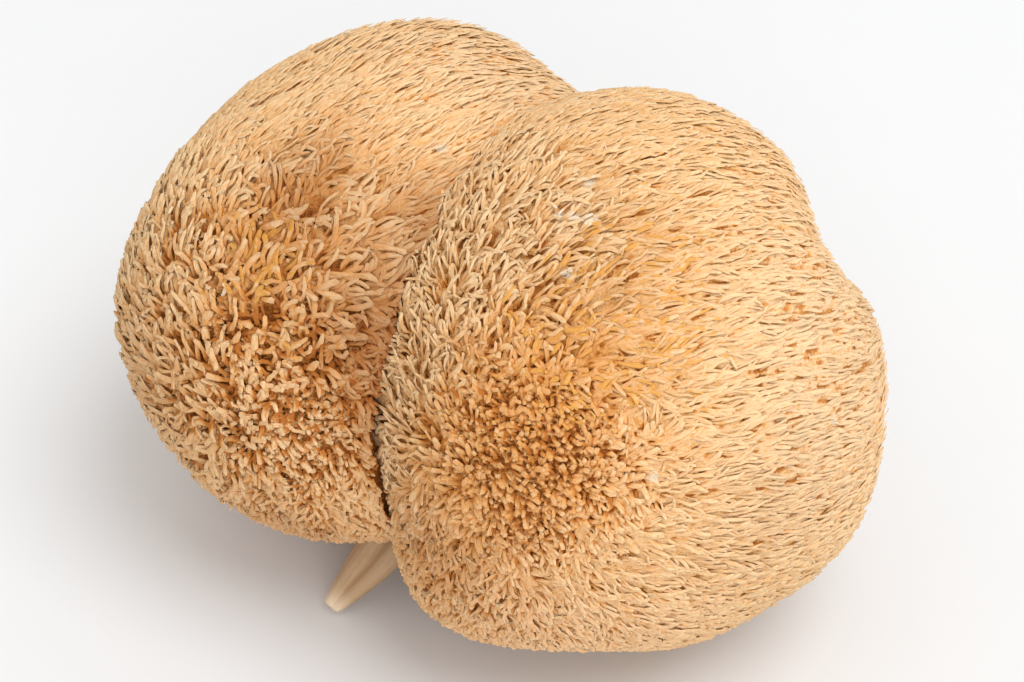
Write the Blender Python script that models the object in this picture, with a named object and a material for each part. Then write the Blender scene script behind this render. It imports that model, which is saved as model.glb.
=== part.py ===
"""Dried lion's mane mushroom with two heads on one short forked stem, lying as it was set down.

Each head is a lumpy ball with its whole coat of soft spines fused to it. The heads have grown against
each other along a flat seam, and the stem comes out low in the groove between them and ends in a narrow
cut tip. Everything is in metres with +Z up. The origin is under the middle of the mushroom, at the level
that it rests on.
"""
import math
import random

import bmesh
import bpy
from mathutils import Vector, noise

# ---- Heads: the outer form that the spine tips reach ----

FRONT_CENTRE = Vector((0.0165, -0.0125, 0.0395))
FRONT_RADII = Vector((0.0376, 0.0396, 0.0411))
REAR_CENTRE = Vector((-0.0150, 0.0080, 0.0375))
REAR_RADII = Vector((0.0402, 0.0397, 0.0391))

# Swellings (+) and hollows (-) of the outer form: azimuth, elevation, height and angular width.
FRONT_LOBES = (
    (3.0, 39.0, -0.0022, 14.0),
    (22.0, 25.0, -0.0040, 14.0),
    (38.0, 9.0, -0.0028, 14.0),
    (-30.0, -31.0, 0.0025, 28.0),
    (-98.0, -52.0, -0.0028, 24.0),
    (-141.0, -36.0, 0.0045, 25.0),
    (-166.0, -12.0, -0.0034, 18.0),
    (161.0, 24.0, 0.0036, 20.0),
    (68.0, 48.0, 0.0017, 26.0),
    (-60.0, -21.0, -0.0018, 18.0),
    (-12.0, 36.0, 0.0007, 12.0),
    (-40.0, -37.0, -0.0019, 17.0),
    (12.0, 17.0, 0.0008, 9.0),
)
REAR_LOBES = (
    (63.0, 47.0, 0.0027, 22.0),
    (110.0, 55.0, 0.0012, 24.0),
    (141.0, 38.0, -0.0006, 24.0),
    (-175.0, -5.0, 0.0024, 28.0),
    (-93.0, -49.0, -0.0040, 20.0),
    (-55.0, -30.0, -0.0020, 24.0),
    (148.0, 66.0, -0.0018, 16.0),
    (35.0, 58.0, -0.0012, 14.0),
    (166.0, 16.0, -0.0007, 18.0),
)
UNEVENNESS = 0.0006
UNEVENNESS_SCALE = 0.016

# ---- Seam between the heads: a share of the way from the front head's centre to the rear head's ----

SEAM_SHARE = 0.54
SEAM_GAP = 0.0003

# ---- Coat: spines that lean away from the hub, the spot on each head where they stand upright ----
# The coat thins to nothing over PRESSED_EDGE round the patch that the head's weight presses flat.

SPINES_PER_HEAD = 900
SPINE_SCATTER = 0.16
SHORTEST_SPINE = 0.85
COAT_DEPTH = 0.0034
PRESSED_EDGE = 0.0025
SPINE_LEAN = 0.0030
UPRIGHT_WITHIN = 8.0
FULL_LEAN_FROM = 45.0
FRONT_HUB = (-115.0, 19.0)
REAR_HUB = (-125.0, 22.0)

# Spines shrink to nothing towards the seam, the resting face and the stem, over these distances.
BARE_EDGE = 0.0002
BARE_NEAR_SEAM = 0.0014
BARE_NEAR_FLOOR = 0.0030
BARE_NEAR_STEM = 0.0026

# ---- Stem ----

STEM_TIP = Vector((-0.0256, -0.0203, 0.0018))
STEM_FORK = Vector((-0.0078, -0.0094, 0.0235))
STEM_SAG = 0.0016
STEM_TIP_RADIUS = 0.0015
STEM_FORK_RADIUS = 0.0072
STEM_SWELL_POWER = 0.8
STEM_FLATNESS = 0.78
STEM_GROOVE_DEPTH = 0.24
STEM_GROOVE_ANGLE = 55.0
STEM_GROOVE_WIDTH = 26.0
STEM_SIDES = 20
STEM_STEPS = 14
STEM_SHARP_ANGLE = 40.0

# ---- Modelling limits and colours ----

CUTTER_SUBDIVISIONS = 4
FLAT_ANGLE = 0.05
FRONT_SEED = 11
REAR_SEED = 23

PALE_COAT = (0.72, 0.43, 0.19)
BROWN_COAT = (0.62, 0.34, 0.13)
STEM_FLESH = (0.60, 0.42, 0.25)
COAT_ROUGHNESS = 0.85
STEM_ROUGHNESS = 0.75

UP = Vector((0.0, 0.0, 1.0))


def direction(azimuth, elevation):
    """Unit vector from an azimuth and an elevation in degrees."""
    turn = math.radians(azimuth)
    tilt = math.radians(elevation)
    return Vector((math.cos(tilt) * math.cos(turn), math.cos(tilt) * math.sin(turn), math.sin(tilt)))


def smooth_step(low, high, value):
    """Rise from 0 at low to 1 at high with soft ends."""
    share = min(1.0, max(0.0, (value - low) / (high - low)))
    return share * share * (3.0 - 2.0 * share)


class Head:
    """One spiny ball: its outer form, its side of the seam and the way its spines lean."""

    def __init__(self, name, centre, radii, lobes, hub, seed):
        self.name = name
        self.centre = centre
        self.radii = radii
        self.lobes = [(direction(turn, tilt), height, width) for turn, tilt, height, width in lobes]
        self.hub = direction(*hub)
        self.seed = seed
        self.seam_point = None
        self.seam_normal = None

    def meet(self, other, share):
        """Set the seam plane at a share of the way to the other head, with its normal pointing there."""
        self.seam_point = self.centre.lerp(other.centre, share)
        self.seam_normal = (other.centre - self.centre).normalized()

    def beyond_seam(self, point):
        """Distance of a point past this head's side of the seam, negative on the head's own side."""
        return (point - self.seam_point).dot(self.seam_normal) + SEAM_GAP / 2

    def outer_radius(self, ray):
        """Distance from the centre to the spine tips along a unit ray, before the seam and the floor."""
        radius = 1.0 / Vector([ray[axis] / self.radii[axis] for axis in range(3)]).length
        for middle, height, width in self.lobes:
            angle = math.degrees(ray.angle(middle))
            radius += height * math.exp(-(angle / width) ** 2)
        place = (self.centre + ray * radius) / UNEVENNESS_SCALE
        return radius + UNEVENNESS * noise.noise(place)

    def flesh_radius(self, ray):
        """Distance to the foot of the coat, which is pressed flat on the floor and stops at the seam."""
        outer = self.outer_radius(ray)
        to_floor = -self.centre.z / ray.z if ray.z < 0.0 else math.inf
        reach = outer - COAT_DEPTH * smooth_step(0.0, PRESSED_EDGE, to_floor - outer)
        towards_seam = ray.dot(self.seam_normal)
        to_seam = -self.beyond_seam(self.centre) / towards_seam if towards_seam > 0.0 else math.inf
        return min(reach, to_floor, to_seam)

    def lean(self, ray):
        """Sideways direction of the spines, away from the hub, as long as the lean is strong."""
        away = (ray * ray.dot(self.hub) - self.hub).normalized()
        return away * smooth_step(UPRIGHT_WITHIN, FULL_LEAN_FROM, math.degrees(ray.angle(self.hub)))


def stem_centre(share):
    """Point on the stem's gently sagging axis at a share of its length from the tip."""
    return STEM_TIP.lerp(STEM_FORK, share) - UP * STEM_SAG * math.sin(math.pi * share)


def stem_radius(share):
    """Half the stem's width at a share of its length from the tip."""
    return STEM_TIP_RADIUS + (STEM_FORK_RADIUS - STEM_TIP_RADIUS) * share ** STEM_SWELL_POWER


def stem_clearance(point):
    """Distance from a point to the stem's side."""
    shares = [step / STEM_STEPS for step in range(STEM_STEPS + 1)]
    return min((point - stem_centre(share)).length - stem_radius(share) for share in shares)


def sphere_points(count, seed):
    """Evenly scattered unit rays along a spiral from pole to pole, each moved a little at random."""
    golden_turn = math.pi * (3.0 - math.sqrt(5.0))
    shift = random.Random(seed)
    reach = SPINE_SCATTER * math.sqrt(4.0 * math.pi / count)
    points = []
    for index in range(count):
        height = 1.0 - 2.0 * (index + 0.5) / count
        ring = math.sqrt(1.0 - height * height)
        turn = golden_turn * index
        point = Vector((ring * math.cos(turn), ring * math.sin(turn), height))
        jitter = Vector([shift.uniform(-reach, reach) for _ in range(3)])
        points.append((point + jitter).normalized())
    return points


def spiny_ball(count, seed):
    """Unit ball with a ring of valley points round every spine point; the spine points are returned too."""
    ball = bmesh.new()
    for point in sphere_points(count, seed):
        ball.verts.new(point)
    bmesh.ops.convex_hull(ball, input=ball.verts[:])
    spine_points = set(ball.verts)
    ridges = ball.edges[:]
    bmesh.ops.poke(ball, faces=ball.faces[:])
    bmesh.ops.rotate_edges(ball, edges=ridges, use_ccw=False)
    return ball, spine_points


def new_material(name, colour, roughness):
    """Plain Principled material."""
    material = bpy.data.materials.new(name)
    material.use_nodes = True
    shader = material.node_tree.nodes["Principled BSDF"]
    shader.inputs["Base Color"].default_value = (*colour, 1.0)
    shader.inputs["Roughness"].default_value = roughness
    shader.inputs["Metallic"].default_value = 0.0
    return material


def finish_object(name, form):
    """Turn a bmesh into a named object in the scene."""
    mesh = bpy.data.meshes.new(name)
    bmesh.ops.recalc_face_normals(form, faces=form.faces[:])
    form.to_mesh(mesh)
    form.free()
    thing = bpy.data.objects.new(name, mesh)
    bpy.context.scene.collection.objects.link(thing)
    return thing


def spine_tip(head, ray, base, length):
    """Tip of the spine whose foot is at base, kept off the seam, the floor and the stem."""
    room = smooth_step(BARE_EDGE, BARE_NEAR_SEAM, -head.beyond_seam(base))
    room *= smooth_step(BARE_EDGE, BARE_NEAR_FLOOR, base.z)
    room *= smooth_step(BARE_NEAR_STEM / 2, BARE_NEAR_STEM, stem_clearance(base))
    tip = base + (ray * COAT_DEPTH * length + head.lean(ray) * SPINE_LEAN) * room
    tip -= head.seam_normal * max(head.beyond_seam(tip), 0.0)
    tip.z = max(tip.z, 0.0)
    return tip


def make_head(head, material):
    """Build one head: valleys on the flesh, spine tips on the outer form, flat at the seam and floor."""
    ball, spine_points = spiny_ball(SPINES_PER_HEAD, head.seed)
    vary = random.Random(head.seed)
    for vert in ball.verts:
        ray = vert.co.normalized()
        base = head.centre + ray * head.flesh_radius(ray)
        if vert in spine_points:
            vert.co = spine_tip(head, ray, base, vary.uniform(SHORTEST_SPINE, 1.0))
        else:
            vert.co = base
    ball.normal_update()
    bmesh.ops.dissolve_limit(
        ball, angle_limit=math.radians(FLAT_ANGLE), verts=ball.verts[:], edges=ball.edges[:]
    )
    bmesh.ops.triangulate(ball, faces=[face for face in ball.faces if len(face.verts) > 3])
    thing = finish_object(head.name, ball)
    thing.data.materials.append(material)
    return thing


def make_head_cutter(head):
    """Smooth form just outside a head's flesh, which trims the stem's upper end."""
    ball = bmesh.new()
    bmesh.ops.create_icosphere(ball, subdivisions=CUTTER_SUBDIVISIONS, radius=1.0)
    for vert in ball.verts:
        ray = vert.co.normalized()
        vert.co = head.centre + ray * (head.outer_radius(ray) - COAT_DEPTH + SEAM_GAP)
    cutter = finish_object(head.name + "_cutter", ball)
    cutter.hide_render = True
    cutter.display_type = "WIRE"
    return cutter


def make_stem(cutters, material):
    """Build the grooved, tapered stem and trim it where the two heads grow out of it."""
    form = bmesh.new()
    bmesh.ops.create_cone(form, cap_ends=True, segments=STEM_SIDES, radius1=1.0, radius2=1.0, depth=1.0)
    lengthwise = [edge for edge in form.edges if edge.verts[0].co.z * edge.verts[1].co.z < 0.0]
    bmesh.ops.subdivide_edges(form, edges=lengthwise, cuts=STEM_STEPS - 1, use_grid_fill=True)
    side = (STEM_FORK - STEM_TIP).cross(UP).normalized()
    upper = side.cross(STEM_FORK - STEM_TIP).normalized()
    for vert in form.verts:
        share = vert.co.z + 0.5
        angle = math.atan2(vert.co.y, vert.co.x)
        from_groove = math.degrees(math.remainder(angle - math.radians(STEM_GROOVE_ANGLE), math.tau))
        groove = STEM_GROOVE_DEPTH * math.exp(-(from_groove / STEM_GROOVE_WIDTH) ** 2)
        across = side * math.cos(angle) + upper * math.sin(angle) * STEM_FLATNESS
        vert.co = stem_centre(share) + across * stem_radius(share) * (1.0 - groove)
        vert.co.z = max(vert.co.z, 0.0)
    thing = finish_object("stem", form)
    thing.data.shade_smooth()
    thing.data.set_sharp_from_angle(angle=math.radians(STEM_SHARP_ANGLE))
    thing.data.materials.append(material)
    for cutter in cutters:
        trim = thing.modifiers.new("trim_to_" + cutter.name, "BOOLEAN")
        trim.operation = "DIFFERENCE"
        trim.object = cutter
    return thing


def base_middle(things):
    """Middle of the things' common box, at the level of its underside."""
    corners = [vert.co for thing in things for vert in thing.data.vertices]
    lowest = Vector([min(corner[axis] for corner in corners) for axis in range(3)])
    highest = Vector([max(corner[axis] for corner in corners) for axis in range(3)])
    return Vector(((lowest.x + highest.x) / 2, (lowest.y + highest.y) / 2, lowest.z))


def main():
    """Build the two heads and the stem."""
    for thing in list(bpy.data.objects):
        bpy.data.objects.remove(thing, do_unlink=True)
    front = Head("front_head", FRONT_CENTRE, FRONT_RADII, FRONT_LOBES, FRONT_HUB, FRONT_SEED)
    rear = Head("rear_head", REAR_CENTRE, REAR_RADII, REAR_LOBES, REAR_HUB, REAR_SEED)
    front.meet(rear, SEAM_SHARE)
    rear.meet(front, 1.0 - SEAM_SHARE)
    heads = [
        make_head(front, new_material("pale_coat", PALE_COAT, COAT_ROUGHNESS)),
        make_head(rear, new_material("brown_coat", BROWN_COAT, COAT_ROUGHNESS)),
    ]
    cutters = [make_head_cutter(front), make_head_cutter(rear)]
    make_stem(cutters, new_material("stem_flesh", STEM_FLESH, STEM_ROUGHNESS))
    middle = base_middle(heads)
    for thing in bpy.data.objects:
        thing.location = -middle


main()
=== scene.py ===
"""Dried lion's mane mushroom: two spiny heads grown together on one short, grooved stem.

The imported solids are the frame. Each head's solid is replaced by a matted coat under thousands of
separate spines, and the stem's solid by a finer stem. Everything is in metres, +Z up, in the frame of
the solids.
"""
import math

import bmesh
import bpy
import numpy as np
from bpy.props import FloatProperty, FloatVectorProperty, IntProperty, PointerProperty
from bpy.types import Operator, Panel, PropertyGroup
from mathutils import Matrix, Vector, kdtree, noise


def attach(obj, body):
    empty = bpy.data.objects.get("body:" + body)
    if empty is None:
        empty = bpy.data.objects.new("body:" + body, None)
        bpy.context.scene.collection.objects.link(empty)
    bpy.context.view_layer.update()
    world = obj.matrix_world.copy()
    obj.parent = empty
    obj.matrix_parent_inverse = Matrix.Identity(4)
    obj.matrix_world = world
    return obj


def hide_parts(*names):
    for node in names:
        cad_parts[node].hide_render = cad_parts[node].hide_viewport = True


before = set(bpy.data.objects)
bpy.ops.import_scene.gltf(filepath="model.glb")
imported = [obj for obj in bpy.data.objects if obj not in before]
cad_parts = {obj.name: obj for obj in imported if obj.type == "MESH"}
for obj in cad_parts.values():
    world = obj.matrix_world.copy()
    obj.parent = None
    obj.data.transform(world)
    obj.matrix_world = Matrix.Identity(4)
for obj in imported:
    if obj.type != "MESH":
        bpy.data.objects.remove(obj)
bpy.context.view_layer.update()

bl_info = {
    "name": "Lion's Mane Mushroom",
    "version": (1, 0, 0),
    "blender": (4, 5, 0),
    "location": "3D View > Sidebar > Mushroom",
    "description": "Dresses the solids of a dried, double-headed lion's mane mushroom",
    "category": "Object",
}

MILLI = 0.001
UP = np.array([0.0, 0.0, 1.0])

# ---- Heads: the outer form that the spine tips reach, as the solids have it ----

FRAME_SHIFT = np.array([1.307, 2.353, 0.0]) * MILLI
SEAM_SHARE = 0.54
SEAM_GAP = 0.3 * MILLI
SEAM_WAVE = 0.9 * MILLI
SEAM_ROUNDING = 0.7 * MILLI
UNEVENNESS = 0.6 * MILLI
# How far each coat grows into the other's along the upper half of the seam.
SEAM_FILL = 0.7 * MILLI
# Over this distance from the floor the coat is pressed together.
PRESSED_EDGE = 2.5 * MILLI
# Direction from the heads to the photo's camera.
TOWARDS_CAMERA = np.array([0.0, -0.766, 0.643])

# Azimuths, elevations and widths are in degrees, and the other sizes here in millimetres.
# stubs: azimuth and elevation of their middle, then how far from it all and none of the spines are stubs.
# curls: width, spacing and length of the curled spines, as shares of the settings.
# hung_from: where the spines begin and end to turn from lying away from the hub to hanging straight.
HEADS = {
    "front": {
        "slot": "pale_coat",
        "seed": 101,
        "centre": (16.5, -12.5, 39.5),
        "radii": (37.6, 39.6, 41.1),
        "hub": (-122.0, 14.0),
        "stubs": (-113.0, 20.0, 10.0, 40.0),
        "curls": (0.92, 1.0, 1.0),
        "hang": (0.95, 0.20, 0.16),
        "hung_from": (-0.80, -0.05),
        "lobes": (
            (3, 39, -2.2, 14), (22, 25, -4.0, 14), (38, 9, -2.8, 14),
            (-30, -31, 2.5, 28), (-98, -52, -2.8, 24), (-141, -36, 4.5, 25),
            (-166, -12, -3.4, 18), (161, 24, 3.6, 20), (68, 48, 1.7, 26),
            (-60, -21, -1.8, 18), (-12, 36, 0.7, 12), (-40, -37, -1.9, 17), (12, 17, 0.8, 9),
        ),
    },
    "rear": {
        "slot": "brown_coat",
        "seed": 202,
        "centre": (-15.0, 8.0, 37.5),
        "radii": (40.2, 39.7, 39.1),
        "hub": (-124.0, 2.0),
        "stubs": (-116.0, 8.0, 10.0, 40.0),
        "curls": (1.30, 1.48, 1.30),
        "hang": (0.78, 0.34, 0.50),
        "hung_from": (-0.90, 0.10),
        "lobes": (
            (63, 47, 2.7, 22), (110, 55, 1.2, 24), (141, 38, -0.6, 24),
            (-175, -5, 2.4, 28), (-93, -49, -4.0, 20), (-55, -30, -2.0, 24),
            (148, 66, -1.8, 16), (35, 58, -1.2, 14), (166, 16, -0.7, 18),
        ),
    },
}

# Places where the coat is combed another way: azimuth, elevation, width, strength and direction there.
COMBED = {
    "front": (
        (-158, 33, 18, 2.0, (0.25, 0.60, 0.75)), (-150, 14, 14, 1.0, (0.0, 0.40, 0.60)),
        (-163, 52, 14, 1.2, (0.80, 0.38, 0.46)), (-124, 46, 16, 1.6, (0.90, 0.26, 0.30)),
        (155, 60, 18, 1.2, (0.80, 0.38, 0.46)), (-46, 0, 28, 2.0, (0.96, 0.10, -0.25)),
        (-91, -14, 22, 1.0, (0.35, -0.40, -0.85)), (90, 68, 30, 1.0, (0.88, 0.50, 0.0)),
    ),
    "rear": (
        (-95, 28, 18, 1.5, (0.80, -0.20, -0.45)), (-113, 34, 14, 1.0, (0.10, 0.60, 0.75)),
        (-128, 38, 10, 1.5, (0.80, 0.38, 0.46)), (60, 75, 35, 1.0, (0.80, 0.60, 0.0)),
    ),
}

# Patches of another colour, and patches of painted shade: azimuth, elevation, width and strength.
TINT_KINDS = ("tan", "grey", "amber", "pink", "pale", "brown")
TINTS = {
    "front": {
        "tan": ((-113, 26, 20, 1.0), (-138, 24, 20, 0.9), (-110, 44, 18, 0.6), (-132, -8, 26, 0.75)),
        "grey": ((-164, 38, 22, 1.0), (-150, 22, 16, 0.7), (-172, 10, 26, 0.8)),
        "amber": ((-89, 52, 17, 1.0), (-104, 50, 16, 0.9), (-112, 30, 14, 0.7), (-95, 66, 14, 0.6)),
        "pink": ((-113, -26, 24, 1.0), (-88, -22, 20, 0.8)),
        "pale": ((-40, 12, 34, 1.0), (-20, 40, 30, 0.7)),
        # Painted shade multiplied over the sides turned from the light, partly browner patches.
        "brown": (
            (-113, 25, 11, 0.1), (-134, -9, 18, 0.4), (-145, 22, 16, 0.15), (-108, 58, 18, 0.25),
            (-62, 8, 16, 0.2),
        ),
    },
    "rear": {
        "tan": (
            # The tan patch by the seam at (-97, 27) is partly painted shade from the front head.
            (-127, 55, 16, 0.9), (-130, 38, 12, 0.6), (-97, 27, 18, 0.6), (-79, 58, 10, 0.4),
            (-115, -12, 22, 0.25), (-158, 22, 24, 0.35),
        ),
        "grey": ((-150, 5, 22, 0.1), (-170, 28, 22, 0.25), (-126, 3, 5, 1.0), (-84, 50, 9, 0.8)),
        "amber": ((-130, 38, 12, 1.0), (-118, 30, 16, 0.5)),
        "pink": ((-115, -30, 24, 0.7),),
        "pale": ((20, 55, 30, 0.6), (55, 74, 20, 0.6), (-111, 7, 13, 0.6)),
        # Painted shade multiplied where the front head shades this one by the seam and on the sides turned
        # from the light, partly browner patches.
        "brown": (
            (-93, 32, 17, 1.0), (-84, 10, 14, 1.0), (-150, 0, 22, 0.4), (-127, 55, 12, 0.5),
            (-130, 38, 14, 0.25), (-80, 56, 10, 0.6), (-140, 65, 14, 0.2), (-115, -26, 16, 0.5),
        ),
    },
}
# Patches where the spines curl: azimuth, elevation, width and strength.
SHAGGY = {
    "front": (
        (-162, 34, 20, 1.0), (-160, 10, 22, 0.7), (175, 58, 18, 0.7), (-135, 64, 14, 0.5),
        (-134, -8, 18, 0.3), (-116, 50, 15, 0.45),
    ),
    "rear": (
        (-148, 14, 28, 1.0), (-172, 20, 22, 0.8), (-150, -14, 20, 0.6), (-125, 45, 20, 0.8),
        (-100, 35, 16, 0.4),
    ),
}
# Spines shaggier than this are made as curled ones.
CURLED_FROM = 0.4
# Bare white specks: azimuth and elevation.
SPECKS = {
    "front": (
        (-121.6, 70.7), (-112.0, 71.2), (-131.0, 70.2), (-113.6, 59.8), (-39.2, 19.5), (-85.0, 22.0),
        (-130.0, 79.0),
    ),
    "rear": ((-134.9, 32.4), (-60.0, 70.0)),
}
SPECK_WIDTH = 1.5

# Scale of each noise on the heads in millimetres, and the offset that sets it apart from the others.
NOISES = {
    "unevenness": (16.0, 0.0),
    "seam": (6.0, 51.0),
    "valleys": (3.4, 71.0),
    "fibres": (0.62, 1.9),
    "fibre_knobs": (0.75, 7.7),
    "pits": (0.92, 31.0),
    "pit_knobs": (1.00, 31.0),
    "spacing": (3.0, 3.7),
    "swing": (4.5, 11.3),
    "bend": (2.2, 5.1),
    "reach": (5.0, 8.8),
}
# Radius of the ball on which the noise of the valleys is read.
VALLEY_BALL = 40.0 * MILLI
# Where each of these begins and is full.
VALLEY_EDGES, PIT_EDGES, FUSED_EDGES = (0.02, 0.42), (0.85, 1.50), (0.05, 0.70)
PIT_SHARPNESS, PIT_KNOB_SHARPNESS = 3.45, 4.0
# Step in millimetres of the smearing along the spines, and the power that evens out its relief.
SMEAR_STEP, SMEAR_POWER = 0.45, 0.7

# Depth of the matted coat's ridges under the tips, in millimetres, by the spines that it carries.
MAT_LYING, MAT_UPRIGHT, MAT_SHAGGY = 0.70, 0.95, 1.10
MAT_FUSED_RISE, MAT_VALLEY_DEPTH = 0.06, 1.05
# Depth at which it is coloured like the spines' upper sides, and the share of a spine's length.
MAT_SURFACE, MAT_ALONG = 0.56, 0.45
# How much further it lies under the spines of the sides that are seen least, and its least depth.
UNSEEN_SUNK, MAT_LEAST = 0.18, 0.05 * MILLI
# How much of the depth of a valley is kept out of the colours.
VALLEY_LOOK = 0.25

# Shares of a spine's length at which its centre line is bent.
STATIONS = np.array((0.0, 0.2, 0.4, 0.6, 0.8, 1.0))
# Girth of a pointed and a blunt spine at shares of their length.
POINTED_GIRTH = (0.0, 0.35, 0.65, 0.92, 1.0), (0.9, 1.0, 0.9, 0.5, 0.0)
BLUNT_GIRTH = (0.0, 0.35, 0.65, 0.92, 1.0), (0.9, 0.95, 1.0, 0.92, 0.0)
# How much of a spine's own roundness shows in its shading, against the head's.
ROUND_LOOK = 0.8
# Painted shade on the lower edges of a spine: how much deeper a blunt one's are coloured, and what a
# pointed one adds.
EDGE_SHADE, POINTED_EDGE_SHADE = 1.3, 1.7

# Side of the cells in which close neighbours of a foot are looked up.
SPACING_CELL = 2.2 * MILLI
# What the spacing gains where spines are fused or unseen, and how much noise varies it and the reach.
FUSED_SPACING, UNSEEN_SPACING = 0.10, 0.42
SPACING_VARIES, REACH_VARIES = 0.30, 0.2
# Ranges of chance for a spine's reach, width and girth at each station, as shares.
REACH_RANGE, WIDTH_RANGE, GIRTH_RANGE = (0.60, 1.30), (0.65, 1.35), (0.74, 1.26)
# Share of the tips that stand out, and the depth of the others where spines are fused, in millimetres.
STANDING_SHARE, LOWERED_RANGE = 0.3, (0.15, 0.50)
# How far a tip can be drawn to its tuft, and the range of chance for how strongly.
TUFT_REACH, TUFT_RANGE = 1.5 * MILLI, (0.3, 1.4)
# The most spines in one piece.
PIECE_OF_SPINES = 6000


def direction(azimuth, elevation):
    """Unit vector from an azimuth and an elevation in degrees."""
    turn, tilt = map(math.radians, (azimuth, elevation))
    return np.array([math.cos(tilt) * math.cos(turn), math.cos(tilt) * math.sin(turn), math.sin(tilt)])


def smooth_step(low, high, value):
    """Rise from 0 at low to 1 at high with soft ends."""
    share = np.clip((value - low) / (high - low), 0.0, 1.0)
    return share * share * (3.0 - 2.0 * share)


def blend(first, second, share):
    """From the first value at share 0 to the second at share 1."""
    return first + (second - first) * share


def unit(vectors):
    """Vectors scaled to length 1."""
    return vectors / np.maximum(np.linalg.norm(vectors, axis=-1, keepdims=True), 1e-12)


def rough(points, name):
    """One of the named noises, about -1 to 1, at each point."""
    scale, offset = NOISES[name]
    return np.array([noise.noise(place) for place in (points / (scale * MILLI) + offset).tolist()])


def angle_to(rays, *place):
    """Degrees between each ray and a place given by azimuth and elevation."""
    return np.degrees(np.arccos(np.clip(rays @ direction(*place), -1.0, 1.0)))


def near(rays, azimuth, elevation, width):
    """1 at a place on a head, falling softly to 0 over a width in degrees."""
    return np.exp(-((angle_to(rays, azimuth, elevation) / width) ** 2))


def patches(rays, places):
    """How strongly some patches show along each ray, from 0 to 1."""
    return np.clip(sum(strength * near(rays, *place) for *place, strength in places), 0.0, 1.0)


class HeadForm:
    """One head: its outer form, its matted coat, its side of the seam and the flow of its spines."""

    def __init__(self, name):
        facts = HEADS[name]
        self.name, self.node = name, f"{name}_head"
        for fact in ("slot", "seed", "lobes", "hub", "stubs", "hung_from"):
            setattr(self, fact, facts[fact])
        self.centre = np.array(facts["centre"]) * MILLI + FRAME_SHIFT
        self.radii = np.array(facts["radii"]) * MILLI
        self.curl_width, self.curl_spacing, self.curl_length = facts["curls"]
        self.hang = unit(np.array(facts["hang"]))
        other = HEADS["rear" if name == "front" else "front"]
        apart = np.array(other["centre"]) * MILLI + FRAME_SHIFT - self.centre
        share = SEAM_SHARE if name == "front" else 1.0 - SEAM_SHARE
        self.seam_point = self.centre + apart * share
        self.seam_normal = unit(apart)
        self.seam_turn = 1.0 if name == "front" else -1.0

    def seam_wave(self, points):
        """How far the seam waves towards this head from its flat cut."""
        return self.seam_turn * SEAM_WAVE * rough(points, "seam")

    def beyond_seam(self, points):
        """Distance past this head's side of the seam, negative on the head's own side."""
        return (points - self.seam_point) @ self.seam_normal + SEAM_GAP / 2 + self.seam_wave(points)

    def grown_in(self, rays):
        """How far the coat runs into the other head's along the upper half of the seam."""
        return SEAM_FILL * smooth_step(0.15, 0.55, rays[:, 2])

    def outer_radius(self, rays):
        """Distance from the centre to the spine tips along unit rays."""
        radius = 1.0 / np.linalg.norm(rays / self.radii, axis=1)
        for turn, tilt, height, width in self.lobes:
            radius += height * MILLI * near(rays, turn, tilt, width)
        places = self.centre - FRAME_SHIFT + rays * radius[:, None]
        return radius + UNEVENNESS * rough(places, "unevenness")

    def mat_radius(self, rays, depth):
        """Distance to the matted coat, a depth under the tips, pressed on the floor and cut at the seam."""
        outer = self.outer_radius(rays)
        down = np.where(rays[:, 2] < 0.0, rays[:, 2], -1e-9)
        to_floor = -self.centre[2] / down
        reach = outer - depth * smooth_step(0.0, PRESSED_EDGE, to_floor - outer)
        towards = np.maximum(rays @ self.seam_normal, 0.3)
        to_plane = (self.seam_point - self.centre) @ self.seam_normal - SEAM_GAP / 2 + self.grown_in(rays)
        to_plane = to_plane / towards
        to_seam = to_plane - self.seam_wave(self.centre + rays * to_plane[:, None]) / towards
        past = np.clip((reach - to_seam) / SEAM_ROUNDING, -30.0, 30.0)
        rounded = reach - SEAM_ROUNDING * np.log1p(np.exp(past))
        return np.minimum(rounded, to_floor)

    def bare(self, points):
        """Whether points on the seam's cut lie outside the other head."""
        spokes = points - self.other.centre
        return np.linalg.norm(spokes, axis=1) > self.other.outer_radius(unit(spokes)) + 0.2 * MILLI

    def seen(self, rays):
        """1 on the sides that are looked at most, 0 on the underside and the back."""
        return smooth_step(-0.35, 0.15, rays @ unit(TOWARDS_CAMERA))

    def hung(self, rays):
        """Where the coat hangs straight, from 0 round the hub to 1 on the far sides."""
        return smooth_step(*self.hung_from, rays @ self.hang)

    def upright(self, rays):
        """1 where the spines stand as short stubs, 0 where they lie flat."""
        *middle, full, none = self.stubs
        by_hub = 1.0 - smooth_step(full, none, angle_to(rays, *middle))
        low = smooth_step(0.15, -0.35, rays[:, 2]) * (1.0 - 0.7 * self.hung(rays))
        return np.clip(np.maximum(by_hub, 0.92 * low), 0.0, 1.0)

    def shaggy(self, rays):
        """How shaggy the coat is along each ray, from 0 to 1."""
        return patches(rays, SHAGGY[self.name])

    def fused(self, rays):
        """Where lying spines have fused into one surface, from 0 round the hub to 1 on the far sides."""
        return smooth_step(*FUSED_EDGES, rays @ self.hang)

    def valleys(self, rays):
        """Hollows between clumps of curled and upright spines, from 0 to 1."""
        loose = np.clip(self.shaggy(rays) + 0.40 * self.upright(rays), 0.0, 1.0)
        return loose * smooth_step(*VALLEY_EDGES, rough(rays * VALLEY_BALL, "valleys"))

    def mat_depth(self, rays):
        """How far the ridges of the matted coat lie under the spine tips."""
        depth = blend(MAT_LYING - MAT_FUSED_RISE * self.fused(rays), MAT_UPRIGHT, self.upright(rays))
        depth = blend(depth, MAT_SHAGGY, self.shaggy(rays))
        return MILLI * (depth + MAT_VALLEY_DEPTH * self.valleys(rays))

    def fibres(self, rays, places):
        """Fine relief of the matted coat, about -1 to 1, drawn out along the lie of the spines."""
        return blend(
            self.drawn_out(rays, places, "fibres", 4), rough(places, "fibre_knobs"), self.upright(rays)
        )

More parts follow.
